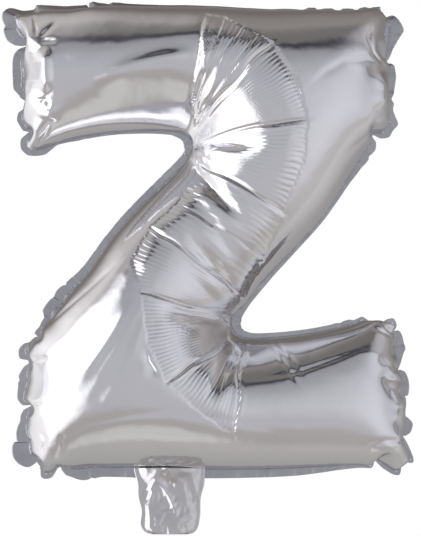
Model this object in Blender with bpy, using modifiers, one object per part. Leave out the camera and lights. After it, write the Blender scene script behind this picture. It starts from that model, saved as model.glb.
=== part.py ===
"""Letter foil balloon, model of the inflated Z shape.

Metres, Z up. The letter stands in the XZ plane and its front faces -Y. The origin lies at the
middle of the letter, on the weld plane between the two foil panels.
"""
import math

import bmesh
import bpy
import numpy as np
from mathutils import Matrix, Vector

MM = 0.001

# Driving dimensions
FOIL = 1.0 * MM            # stand-in wall for the film, which is far thinner in reality
FLANGE_THICK = 0.8 * MM
GAP = 0.35 * MM
FLANGE_WIDTH = 5.5 * MM
FLANGE_TUCK = 1.6 * MM     # how far the weld reaches in under the rim of the panels
RIM_LIFT = 1.50 * MM       # rim of each panel above the weld plane
BULGE_CAP = 62.0 * MM      # depth that the widest places, the two elbows, tend to
CELLS_ACROSS = 6
CAGE_GROWTH = 1.045        # makes good what subdivision takes off the height
FILL_GROWTH = 1.34         # the film away from the notches stands prouder than a half circle
DRAW_NEAR = (0.58, 25.0 * MM)  # share and reach of the steep draw close to a notch
DRAW_FAR = (0.22, 300.0 * MM)  # share and reach of the wide draw round it
END_FULLNESS = 0.9         # the gathered ends of the bars are blunt like a pillow
END_REACH = 5.5 * MM

# Corners of the seam of the filled letter, x and z in millimetres
CORNER = {
    "top_left": (-145, 171), "over_notch": (-14, 176), "top_right": (130, 170),
    "elbow_right": (133, 86), "notch_right": (10, -74), "bar_right": (137, -63),
    "bottom_right": (144, -161), "under_notch": (-4, -168), "bottom_left": (-127, -165),
    "elbow_left": (-135, -78), "notch_left": (-5, 84), "bar_left": (-136, 72),
}

# Points where the film pinches at a seam: edge start, edge end, place along it, pull in mm
PINCHES = (
    ("top_left", "bar_left", 0.25, 8.0),
    ("top_left", "bar_left", 0.72, 6.0),
    ("bar_right", "bottom_right", 0.30, 4.0),
    ("bar_right", "bottom_right", 0.68, 5.0),
    ("top_right", "elbow_right", 0.50, 4.0),
    ("bottom_left", "elbow_left", 0.50, 4.0),
)

# Places where the film stands prouder or slacker: x, z and reach in mm, share of its depth
SWELLS = (
    (-32, -88, 38, 0.22), (32, 95, 31, 0.21), (88, 158, 72, -0.07), (-85, 92, 40, -0.17),
    (-28, 40, 39, -0.27), (24, -28, 34, -0.30), (100, -80, 50, -0.09),
)

# Neck: the filling tail under the bottom bar
NECK_X = -27.0 * MM
NECK_HALF = 24.5 * MM      # half width at the root
NECK_HALF_LOW = 21.0 * MM  # half width above the rounded lower corners
NECK_ROUND = 8.0 * MM      # radius of the lower corners
NECK_LOW = -214.5 * MM
NECK_OPEN = 3.0 * MM       # half depth of the mouth
NECK_FILM = 0.8 * MM

SILVER = (0.74, 0.74, 0.77, 1.0)


def clear_scene():
    for ob in list(bpy.data.objects):
        bpy.data.objects.remove(ob, do_unlink=True)


def new_collection(name, hidden=False):
    col = bpy.data.collections.new(name)
    bpy.context.scene.collection.children.link(col)
    col.hide_render = hidden
    return col


def material(name, colour, roughness, metallic, alpha=1.0):
    mat = bpy.data.materials.new(name)
    mat.use_nodes = True
    shader = mat.node_tree.nodes["Principled BSDF"]
    shader.inputs["Base Color"].default_value = colour
    shader.inputs["Roughness"].default_value = roughness
    shader.inputs["Metallic"].default_value = metallic
    shader.inputs["Alpha"].default_value = alpha
    return mat


def corner(name):
    return np.array(CORNER[name], float) * MM


def spacing(count, crowd):
    """Places from 0 to 1, crowded towards both ends where crowd is true."""
    t = np.linspace(0.0, 1.0, count + 1)
    return (1 - np.cos(math.pi * t)) / 2 if crowd else t


class Cage:
    """Quad cage over the letter, five patches that share their border points."""

    def __init__(self):
        self.points = []
        self.index = {}
        self.quads = []

    def point(self, xz):
        key = (round(float(xz[0]), 6), round(float(xz[1]), 6))
        if key not in self.index:
            self.index[key] = len(self.points)
            self.points.append(np.array(key))
        return self.index[key]

    def patch(self, a, b, c, d, along, across):
        """Patch with corners a, b, c, d in turn; along runs a to b, across runs a to d."""
        rows = []
        for s in along:
            low, high = a + (b - a) * s, d + (c - d) * s
            rows.append([self.point(low + (high - low) * t) for t in across])
        for r0, r1 in zip(rows, rows[1:]):
            for k in range(len(across) - 1):
                self.quads.append((r0[k], r0[k + 1], r1[k + 1], r1[k]))


def letter_cage():
    """Cage of the whole letter, in the order of the strip from the upper left end."""
    n = spacing(CELLS_ACROSS, True)
    tl, tr, er, nr, br = [corner(k) for k in
                          ("top_left", "top_right", "elbow_right", "notch_right", "bar_right")]
    lr, bl, el, nl, tb = [corner(k) for k in
                          ("bottom_right", "bottom_left", "elbow_left", "notch_left", "bar_left")]
    over, under = corner("over_notch"), corner("under_notch")
    end = np.linspace(0, 1, 8) ** 1.35
    cage = Cage()
    cage.patch(tb, nl, over, tl, end, n)
    cage.patch(nl, er, tr, over, n, n)
    cage.patch(nl, er, nr, el, n, np.linspace(0, 1, 9))
    cage.patch(el, nr, under, bl, n, n)
    cage.patch(nr, br, lr, under, 1 - end[::-1], n)
    return cage


def border_loop(quads):
    """Points of the outer border of a cage, in order."""
    count = {}
    for q in quads:
        for i in range(4):
            e = (q[i], q[(i + 1) % 4])
            count[tuple(sorted(e))] = count.get(tuple(sorted(e)), 0) + 1
    nxt = {}
    for (i, j), k in count.items():
        if k == 1:
            nxt.setdefault(i, []).append(j)
            nxt.setdefault(j, []).append(i)
    start = min(nxt)
    loop = [start, nxt[start][0]]
    while True:
        a, b = nxt[loop[-1]]
        step = b if a == loop[-2] else a
        if step == start:
            return loop
        loop.append(step)


def bulge_heights(points, quads, border):
    """Height of the film over each cage point.

    The height is the root of twice the stress function of the outline, which for a long
    strip of film is exactly the half circle that a filled tube takes.
    """
    size = len(points)
    tris = [t for a, b, c, d in quads for t in ((a, b, c), (a, c, d), (a, b, d), (b, c, d))]
    stiff = np.zeros((size, size))
    load = np.zeros(size)
    for tri in tris:
        p = np.array([points[k] for k in tri])
        e = np.array([p[2] - p[1], p[0] - p[2], p[1] - p[0]])
        area = abs(e[0][0] * e[1][1] - e[0][1] * e[1][0]) / 2
        if area < 1e-12:
            continue
        for i in range(3):
            load[tri[i]] += area / 3
            for j in range(3):
                stiff[tri[i], tri[j]] += e[i] @ e[j] / (4 * area)
    free = np.array([k for k in range(size) if k not in border])
    phi = np.zeros(size)
    phi[free] = np.linalg.solve(stiff[np.ix_(free, free)], load[free])
    return np.sqrt(2 * np.maximum(phi, 0))


def pinched(points, border):
    """Seam points drawn in where the film pinches."""
    out = [p.copy() for p in points]
    for first, last, place, pull in PINCHES:
        a, b = corner(first), corner(last)
        at = a + (b - a) * place
        k = min(border, key=lambda i: float(np.linalg.norm(points[i] - at)))
        inward = np.array((-(b - a)[1], (b - a)[0])) / np.linalg.norm(b - a)
        if at @ inward > 0:
            inward = -inward
        out[k] = out[k] + inward * pull * MM
    return out


def refine(loop, rounds):
    """Cubic subdivision of a closed loop of points, as the panels' own border takes."""
    for _ in range(rounds):
        new = []
        for i, p in enumerate(loop):
            before, after = loop[i - 1], loop[(i + 1) % len(loop)]
            new.append(before / 8 + p * 0.75 + after / 8)
            new.append((p + after) / 2)
        loop = new
    return loop


def away_from(p, name):
    return float(np.linalg.norm(p - corner(name)))


def away_from_edge(p, first, last):
    a, b = corner(first), corner(last)
    t = min(max(float((p - a) @ (b - a) / ((b - a) @ (b - a))), 0.0), 1.0)
    return float(np.linalg.norm(p - a - (b - a) * t))


def filled_depth(p, height):
    """Depth of the film over a cage point: low at the notches, blunt at the bar ends.

    Film that can't stretch has too little length round a notch, so it is drawn in there.
    """
    depth = height / (1 + (height / BULGE_CAP) ** 4) ** 0.25
    for name in ("notch_left", "notch_right"):
        away = away_from(p, name)
        near = DRAW_NEAR[0] * math.exp(-(away / DRAW_NEAR[1]) ** 1.5)
        depth *= 1 - near - DRAW_FAR[0] * math.exp(-away / DRAW_FAR[1])
    for x, z, reach, share in SWELLS:
        away = math.hypot(p[0] - x * MM, p[1] - z * MM)
        depth *= 1 + share * math.exp(-(away / (reach * MM)) ** 2)
    ends = min(away_from_edge(p, "top_left", "bar_left"),
               away_from_edge(p, "top_right", "elbow_right"),
               away_from_edge(p, "bar_right", "bottom_right"),
               away_from_edge(p, "bottom_left", "elbow_left"))
    return CAGE_GROWTH * FILL_GROWTH * depth * (1 + END_FULLNESS * math.exp(-ends / END_REACH))


def mesh_object(name, verts, faces, mat, col):
    mesh = bpy.data.meshes.new(name)
    bm = bmesh.new()
    made = [bm.verts.new(v) for v in verts]
    for f in faces:
        bm.faces.new([made[k] for k in f])
    bmesh.ops.recalc_face_normals(bm, faces=bm.faces)
    bm.to_mesh(mesh)
    bm.free()
    mesh.materials.append(mat)
    mesh.shade_smooth()
    ob = bpy.data.objects.new(name, mesh)
    col.objects.link(ob)
    return ob


def subdivide(ob, levels):
    mod = ob.modifiers.new("Soft form", "SUBSURF")
    mod.levels = levels
    mod.render_levels = levels


def solidify(ob, thickness, offset):
    mod = ob.modifiers.new("Film", "SOLIDIFY")
    mod.thickness = thickness
    mod.offset = offset
    mod.use_even_offset = False


def face_towards(ob, direction):
    """Turn the faces over if they look away from the direction."""
    total = Vector((0, 0, 0))
    for poly in ob.data.polygons:
        total += poly.normal * poly.area
    if total.dot(Vector(direction)) < 0:
        ob.data.flip_normals()


def panel(name, side, points, quads, heights, mat, col):
    """Front (side -1) or back (side 1) foil panel, a thin dish over the letter."""
    verts = []
    for p, h in zip(points, heights):
        verts.append((p[0], side * (RIM_LIFT + filled_depth(p, h)), p[1]))
    ob = mesh_object(name, verts, quads, mat, col)
    face_towards(ob, (0, side, 0))
    subdivide(ob, 1)
    solidify(ob, FOIL, -1)
    return ob


def outward_rows(pts):
    """Points of a closed loop, each with its outward normal, run clockwise seen from the front."""
    n = len(pts)
    area = sum(p[0] * pts[(i + 1) % n][1] - p[1] * pts[(i + 1) % n][0]
               for i, p in enumerate(pts))
    if area > 0:
        pts = pts[::-1]
    rows = []
    for i, p in enumerate(pts):
        tangent = pts[(i + 1) % n] - pts[i - 1]
        tangent = tangent / np.linalg.norm(tangent)
        rows.append((p, np.array((-tangent[1], tangent[0]))))
    return rows


def bottom_at(rows, x):
    """Lowest point of the loop at x, with its normal."""
    best = None
    for i, (p, m) in enumerate(rows):
        q, k = rows[(i + 1) % len(rows)]
        if min(p[0], q[0]) <= x <= max(p[0], q[0]) and p[0] != q[0]:
            t = (x - p[0]) / (q[0] - p[0])
            at = p + (q - p) * t
            if best is None or at[1] < best[0][1]:
                best = (at, m + (k - m) * t, i)
    return best


def flange(rows, mat, col):
    """Flat weld round the outline, open where the neck passes; bent back along the top."""
    reach = NECK_HALF + GAP
    left, right = bottom_at(rows, NECK_X - reach), bottom_at(rows, NECK_X + reach)
    n = len(rows)
    order = [left[:2]]
    k = (left[2] + 1) % n
    while k != (right[2] + 1) % n:
        order.append(rows[k])
        k = (k + 1) % n
    order.append(right[:2])
    verts, faces = [], []
    for p, m in order:
        upward = max(0.0, m[1]) ** 4 if p[1] > 0.12 else 0.0
        bend = math.radians(62) * upward
        out = FLANGE_WIDTH - 1.6 * MM
        near, knee = p - m * FLANGE_TUCK, p + m * 1.6 * MM
        far = knee + m * out * math.cos(bend)
        verts += [(near[0], 0, near[1]), (knee[0], 0, knee[1]),
                  (far[0], out * math.sin(bend), far[1])]
    for k in range(len(order) - 1):
        for j in range(2):
            a = 3 * k + j
            faces.append((a, a + 1, a + 4, a + 3))
    ob = mesh_object("edge_weld_flange", verts, faces, mat, col)
    solidify(ob, FLANGE_THICK, 0)
    return ob


def neck_half(z, top):
    """Half width of the neck at height z: it tapers and its lower corners are round."""
    share = min((top - z) / (0.7 * (top - NECK_LOW)), 1.0)
    plain = NECK_HALF + (NECK_HALF_LOW - NECK_HALF) * share
    near = min(max(NECK_ROUND - (z - NECK_LOW), 0.0), NECK_ROUND)
    return plain - (NECK_ROUND - math.sqrt(NECK_ROUND ** 2 - near ** 2))


def neck_film(name, side, top, mat, col):
    """One film of the filling neck, flat welds at its sides and a flat open mouth."""
    places = (-1.0, -0.86, -0.7, -0.5, 0.5, 0.7, 0.86, 1.0)
    rise = (0.0, 0.0, 0.7, 1.0, 1.0, 0.7, 0.0, 0.0)
    straight = np.linspace(top - GAP, NECK_LOW + NECK_ROUND, 5)
    curve = [NECK_LOW + NECK_ROUND * (1 - math.sin(math.radians(a))) for a in (25, 50, 70, 90)]
    levels = [*straight, *curve]
    inner = GAP / 2
    verts, faces = [], []
    for z in levels:
        for s, r in zip(places, rise):
            verts.append((NECK_X + s * neck_half(z, top), side * (inner + NECK_OPEN * r), z))
    width = len(places)
    for i in range(len(levels) - 1):
        for j in range(width - 1):
            a = i * width + j
            faces.append((a, a + 1, a + width + 1, a + width))
    ob = mesh_object(name, verts, faces, mat, col)
    face_towards(ob, (0, side, 0))
    solidify(ob, NECK_FILM, 1)
    return ob


def valve_film(top, mat, col):
    """Flat film sleeve of the self-closing valve, from inside the neck into the letter."""
    z_low, z_high = NECK_LOW + 22 * MM, top + 45 * MM
    bpy.ops.mesh.primitive_cube_add(size=1)
    ob = bpy.context.object
    ob.name = "valve_film"
    ob.data.name = "valve_film"
    ob.data.transform(Matrix.Diagonal((28 * MM, 0.6 * MM, z_high - z_low, 1)))
    ob.location = (NECK_X, 0, (z_low + z_high) / 2)
    ob.data.materials.append(mat)
    for c in list(ob.users_collection):
        c.objects.unlink(ob)
    col.objects.link(ob)
    return ob


def build():
    clear_scene()
    col = new_collection("letter_foil_balloon")
    foil = material("foil_silver", SILVER, 0.16, 1.0)
    weld = material("foil_weld", (0.62, 0.62, 0.65, 1.0), 0.28, 1.0)
    valve = material("valve_clear", (0.80, 0.82, 0.84, 1.0), 0.30, 0.0)

    cage = letter_cage()
    border = border_loop(cage.quads)
    points = pinched(cage.points, border)
    heights = bulge_heights(points, cage.quads, set(border))
    panel("front_foil_panel", -1, points, cage.quads, heights, foil, col)
    panel("back_foil_panel", 1, points, cage.quads, heights, foil, col)
    rows = outward_rows(refine([points[k] for k in border], 2))
    flange(rows, weld, col)
    neck_top = min(bottom_at(rows, NECK_X + s * NECK_HALF)[0][1] for s in (-1, -0.5, 0, 0.5, 1))
    neck_film("neck_front_film", -1, neck_top, foil, col)
    neck_film("neck_back_film", 1, neck_top, foil, col)
    valve_film(neck_top, valve, col)


build()
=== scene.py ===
"""Looks of the filled foil letter balloon.

The film is cut flat, filled by a small pressure calculation, and then gets the pleats and
crinkles of real metallised film. Film, weld and neck are worked out in millimetres, which MM
turns into metres as their meshes are made. The studio is in metres.
"""
from __future__ import annotations

import logging
import math
from dataclasses import dataclass, field
from enum import Enum

import bpy
import numpy as np
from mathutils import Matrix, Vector
from mathutils.bvhtree import BVHTree
from mathutils.geometry import delaunay_2d_cdt


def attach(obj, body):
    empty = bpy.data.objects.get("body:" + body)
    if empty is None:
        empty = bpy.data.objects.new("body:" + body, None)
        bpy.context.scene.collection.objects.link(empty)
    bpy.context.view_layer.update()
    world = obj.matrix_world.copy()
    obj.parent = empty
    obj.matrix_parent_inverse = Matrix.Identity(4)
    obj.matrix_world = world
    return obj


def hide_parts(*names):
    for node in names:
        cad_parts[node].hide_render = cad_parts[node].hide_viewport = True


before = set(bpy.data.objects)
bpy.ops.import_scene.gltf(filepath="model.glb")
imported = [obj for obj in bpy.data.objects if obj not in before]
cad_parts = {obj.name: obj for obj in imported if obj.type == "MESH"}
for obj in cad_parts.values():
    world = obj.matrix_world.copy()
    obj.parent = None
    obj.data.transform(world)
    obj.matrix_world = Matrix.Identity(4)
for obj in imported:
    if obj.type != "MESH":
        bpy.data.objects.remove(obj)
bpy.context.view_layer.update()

LOG = logging.getLogger("foil_letter")
MM = 0.001
Array = np.ndarray


class Side(Enum):
    """Which film of the balloon a piece belongs to, as the sign of its Y."""

    FRONT = -1
    BACK = 1


# Lines and triangles


def unit(v: Array) -> Array:
    """Vector or rows of vectors at length one."""
    return v / np.maximum(np.linalg.norm(v, axis=-1, keepdims=True), 1e-12)


def columns(*parts: Array) -> Array:
    """Arrays side by side, as the columns of one."""
    return np.stack(parts, 1)


def smooth(low: float, high: float, value: Array) -> Array:
    """Smooth step from low to high."""
    t = np.clip((value - low) / (high - low), 0, 1)
    return t * t * (3 - 2 * t)


def closed(ring: Array) -> Array:
    """Ring of points with the first one again at its end."""
    return np.vstack([ring, ring[:1]])


def lengths_along(line: Array) -> Array:
    """Length along a line at each of its points."""
    return np.concatenate([[0.0], np.cumsum(np.linalg.norm(np.diff(line, axis=0), axis=1))])


def nearest_on_line(knots: Array, pts: Array) -> tuple[Array, Array, Array]:
    """Nearest place of each point on a line of straight runs.

    Args:
        knots: the line's points in order.
        pts: the points to measure from.
    Returns:
        Distance, number of the run plus the share of it, and whether the point lies to its left.
    """
    gap = np.full(len(pts), np.inf)
    run = np.zeros(len(pts))
    left = np.zeros(len(pts), bool)
    for k, (a, b) in enumerate(zip(knots, knots[1:])):
        way, rel = b - a, pts - a
        share = np.clip((rel @ way) / (way @ way), 0, 1)
        off = np.linalg.norm(rel - way * share[:, None], axis=1)
        hit = off < gap
        gap[hit] = off[hit]
        run[hit] = k + share[hit]
        left[hit] = (way[0] * rel[:, 1] - way[1] * rel[:, 0])[hit] > 0
    return gap, run, left


def inside(ring: Array, pts: Array) -> Array:
    """Which points lie inside a closed ring."""
    crossings = np.zeros(len(pts), int)
    x, z = pts[:, 0], pts[:, 1]
    for (x0, z0), (x1, z1) in zip(ring, np.roll(ring, -1, 0)):
        if z0 != z1:
            crossings += ((z0 > z) != (z1 > z)) & (x < (x1 - x0) * (z - z0) / (z1 - z0) + x0)
    return crossings % 2 == 1


def sides_of(tris: Array) -> tuple[Array, Array]:
    """Sides of triangles as sorted pairs of points, and the point that faces each side."""
    sides = np.vstack([tris[:, [0, 1]], tris[:, [1, 2]], tris[:, [2, 0]]])
    return np.sort(sides, axis=1), np.concatenate([tris[:, 2], tris[:, 0], tris[:, 1]])


def neighbour_sums(edges: Array, points: Array) -> Array:
    """Sum of the neighbours of each point, over the given edges."""
    one, two = edges.T
    size = len(points)
    return columns(*(np.bincount(one, part[two], size) + np.bincount(two, part[one], size)
                     for part in points.T))


# Flat cut of the film


@dataclass(frozen=True)
class CutCorner:
    """One corner of the flat cut.

    x and z are its place, radius rounds it and bow bulges the edge that follows it.
    """

    name: str
    x: float
    z: float
    radius: float
    bow: float


LETTER_CUT: tuple[CutCorner, ...] = (
    CutCorner("top_left", -154.0, 213.0, 10.0, 11.2),
    CutCorner("top_right", 138.8, 188.0, 10.0, 4.5),
    CutCorner("elbow_right", 148.9, 92.6, 14.0, 5.0),
    CutCorner("notch_right", 30.4, -71.2, 9.0, -0.1),
    CutCorner("bar_right", 160.0, -79.3, 10.0, 5.0),
    CutCorner("bottom_right", 156.3, -212.7, 10.0, 4.2),
    CutCorner("bottom_left", -133.5, -192.7, 10.0, 8.0),
    CutCorner("elbow_left", -155.0, -85.2, 14.0, 7.6),
    CutCorner("notch_left", -24.4, 80.3, 9.0, -0.6),
    CutCorner("bar_left", -156.9, 92.0, 10.0, 12.0),
)


@dataclass(frozen=True)
class Pinch:
    """Place where the weld is drawn in between two puffs.

    after and share give it on the flat cut, x and z on the filled letter.
    """

    after: str
    share: float
    x: float
    z: float


PINCHES: tuple[Pinch, ...] = (
    Pinch("top_left", 0, -142.0, 164.8),
    Pinch("top_left", 0.11, -117.6, 169.4),
    Pinch("top_left", 0.935, 116.7, 169.4),
    Pinch("top_right", 0, 127.8, 163.3),
    Pinch("top_right", 0.45, 129.7, 129.4),
    Pinch("top_right", 0.88, 134.6, 94.8),
    Pinch("notch_right", 0.86, 120.8, -63.3),
    Pinch("bar_right", 0, 134.8, -60.3),
    Pinch("bar_right", 0.14, 135.4, -71.3),
    Pinch("bar_right", 0.32, 138.9, -90.4),
    Pinch("bar_right", 0.62, 142.2, -125.4),
    Pinch("bar_right", 0.82, 143.5, -146.5),
    Pinch("bottom_right", 0, 141.2, -160.3),
    Pinch("bottom_right", 0.11, 118.6, -158.1),
    Pinch("bottom_right", 0.925, -107.7, -162.5),
    Pinch("bottom_left", 0, -117.2, -163.2),
    Pinch("bottom_left", 0.12, -120.9, -156.7),
    Pinch("bottom_left", 0.54, -127.7, -119.6),
    Pinch("bottom_left", 0.85, -130.9, -89.6),
    Pinch("bar_left", 0, -134.5, 70.8),
    Pinch("bar_left", 0.35, -131.8, 102.3),
    Pinch("bar_left", 0.77, -127.8, 146.7),
)


@dataclass
class FlatCut:
    """The flat cut of the letter, with rounded corners and bowed edges.

    Args:
        corners: corners in order round the letter.
        flange: width of the weld outside the seam.
        edge_runs: straight runs that draw a bowed edge.
        arc_runs: straight runs that draw a rounded corner.
    """

    corners: tuple[CutCorner, ...]
    flange: float = 5.5
    edge_runs: int = 11
    arc_runs: int = 8

    def outline(self, step: float) -> Array:
        """Seam points at an even step.

        Args:
            step: distance between points, in millimetres.
        Returns:
            Points as rows of x and z.
        """
        pts = np.array([(c.x, c.z) for c in self.corners])
        count = len(pts)
        arcs = [self._arc(pts, k) for k in range(count)]
        line: list[Array] = []
        for k in range(count):
            line.extend(arcs[k])
            start, end = arcs[k][-1], arcs[(k + 1) % count][0]
            way = unit(end - start)
            out = np.array((-way[1], way[0]))
            for t in np.linspace(0, 1, self.edge_runs + 1)[1:-1]:
                line.append(start + (end - start) * t + out * self.corners[k].bow * 4 * t * (1 - t))
        ring = closed(np.array(line))
        run = lengths_along(ring)
        count = int(round(run[-1] / step))
        at = np.arange(count) * run[-1] / count
        return columns(*(np.interp(at, run, part) for part in ring.T))

    def _arc(self, pts: Array, k: int) -> list[Array]:
        """Points of the rounded corner k."""
        a, b = unit(pts[k - 1] - pts[k]), unit(pts[(k + 1) % len(pts)] - pts[k])
        half = math.acos(float(np.clip(a @ b, -1, 1))) / 2
        radius = self.corners[k].radius
        first, last = pts[k] + a * radius / math.tan(half), pts[k] + b * radius / math.tan(half)
        centre = pts[k] + unit(a + b) * radius / math.sin(half)
        a0 = math.atan2(first[1] - centre[1], first[0] - centre[0])
        a1 = math.atan2(last[1] - centre[1], last[0] - centre[0])
        turn = (a1 - a0 + math.pi) % (2 * math.pi) - math.pi
        return [centre + radius * np.array((math.cos(a0 + turn * t), math.sin(a0 + turn * t)))
                for t in np.linspace(0, 1, self.arc_runs + 1)]

    def edge(self, name: str) -> tuple[Array, Array]:
        """Ends of the edge that follows the corner of that name."""
        at = [c.name for c in self.corners].index(name)
        a, b = self.corners[at], self.corners[(at + 1) % len(self.corners)]
        return np.array((a.x, a.z)), np.array((b.x, b.z))


@dataclass
class FilmNet:
    """Triangle net of both films and the weld outside the seam.

    Points run in the order seam, front, back, outer weld edge.
    """

    flat: Array
    front: Array
    back: Array
    weld: Array
    seam_count: int
    film_count: int

    @classmethod
    def from_cut(cls, cut: FlatCut, step: float) -> "FilmNet":
        """Lay a net of the given step over the flat cut.

        Args:
            cut: the flat cut.
            step: side of the triangles, in millimetres.
        Returns:
            The net, lying flat.
        """
        clear_of_seam, thinnest, merge = 0.6 * step, 1e-3 * step * step, 1e-7
        seam = cut.outline(step)
        along = unit(np.roll(seam, -1, 0) - np.roll(seam, 1, 0))
        out = columns(-along[:, 1], along[:, 0])
        xs = np.arange(seam[:, 0].min(), seam[:, 0].max(), step)
        zs = np.arange(seam[:, 1].min(), seam[:, 1].max(), step * math.sqrt(3) / 2)
        grid = np.array([(x + (j % 2) * step / 2, z) for j, z in enumerate(zs) for x in xs])
        grid = grid[inside(seam, grid)]
        grid = grid[nearest_on_line(closed(seam), grid)[0] > clear_of_seam]
        n, m = len(seam), len(grid)
        both = np.vstack([seam, grid])
        edges = [(i, (i + 1) % n) for i in range(n)]
        tris = np.array(delaunay_2d_cdt([Vector(p) for p in both], edges, [], 0, merge)[2])
        tris = tris[inside(seam, both[tris].mean(1))]
        p = both[tris]
        area = np.cross(p[:, 1] - p[:, 0], p[:, 2] - p[:, 0])
        real = np.abs(area) > thinnest
        tris, area = tris[real], area[real]
        tris[area < 0] = tris[area < 0][:, ::-1]
        back = np.where(tris >= n, tris + m, tris)[:, ::-1]
        first = n + 2 * m
        i = np.arange(n)
        j = (i + 1) % n
        weld = np.vstack([columns(i, j, first + j), columns(i, first + j, first + i)])
        flat = np.vstack([seam, grid, grid, seam + out * cut.flange])
        return cls(flat, tris, back, weld, n, m)

    def springs(self) -> tuple[Array, Array]:
        """Edges of the net, and pairs of points that face each other over an edge."""
        parts = (self.front, self.back, self.weld)
        edges = np.unique(np.vstack([sides_of(part)[0] for part in parts]), axis=0)
        pairs = []
        for part in parts:
            sides, facing = sides_of(part)
            key = sides[:, 0].astype(np.int64) * len(self.flat) + sides[:, 1]
            order = np.argsort(key, kind="stable")
            key, facing = key[order], facing[order]
            same = key[1:] == key[:-1]
            pairs.append(columns(facing[:-1][same], facing[1:][same]))
        return edges, np.vstack(pairs)

    def spread(self) -> Array:
        """Start shape: the films a hair apart, with a slight even ripple."""
        rise, rise_reach, ripple_height = 0.12, 12.0, 0.25
        n, m = self.seam_count, self.film_count
        seam, front, back = slice(n), slice(n, n + m), slice(n + m, n + 2 * m)
        x, z = self.flat[:, 0], self.flat[:, 1]
        ripple = ripple_height * np.sin(x * 0.61 + 1.3 * np.sin(z * 0.23)) * np.sin(z * 0.53 + 0.9)
        gap = nearest_on_line(closed(self.flat[seam]), self.flat[front])[0]
        lift = np.minimum(gap, rise_reach) * rise
        y = np.zeros(len(self.flat))
        y[front] = -lift + ripple[front]
        y[back] = lift + 0.8 * ripple[back]
        y[seam] = 0.15 * ripple[seam]
        return columns(x, y, z)

    def carry(self, other: "FilmNet", shape: Array) -> Array:
        """Shape of another, coarser net laid onto this one.

        Args:
            other: the coarser net.
            shape: its filled points.
        Returns:
            Points of this net on the coarser shape.
        """
        n, m = self.seam_count, self.film_count
        tiny, past = 1e-6, 0.2
        out = np.zeros((len(self.flat), 3))
        spans = ((other.front, range(n + m)), (other.back, range(n + m, n + 2 * m)),
                 (other.weld, range(n + 2 * m, len(self.flat))))
        flat3 = [Vector((p[0], p[1], 0)) for p in other.flat]
        for tris, ids in spans:
            tree = BVHTree.FromPolygons(flat3, [tuple(int(k) for k in t) for t in tris])
            ids = np.array(ids)
            hits = [tree.find_nearest(Vector((self.flat[v, 0], self.flat[v, 1], 0))) for v in ids]
            face = tris[[h[2] for h in hits]]
            at = np.array([(h[0].x, h[0].y) for h in hits])
            a, b, c = (other.flat[face[:, k]] for k in range(3))
            area = np.cross(b - a, c - a)
            area = np.where(np.abs(area) < tiny, tiny, area)
            wb = np.clip(np.cross(at - a, c - a) / area, -past, 1 + past)[:, None]
            wc = np.clip(np.cross(b - a, at - a) / area, -past, 1 + past)[:, None]
            out[ids] = (shape[face[:, 0]] * (1 - wb - wc) + shape[face[:, 1]] * wb
                        + shape[face[:, 2]] * wc)
        return out


@dataclass(frozen=True)
class FillStage:
    """One stage of the filling.

    step is the net's, gather is how much of its stiffness the film keeps when it is pushed
    together: film gathers into folds finer than the net, so that is little.
    """

    step: float
    rounds: int
    start_pressure: float
    end_pressure: float
    bending: float
    gather: float
    damping: float = 0.985


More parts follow.
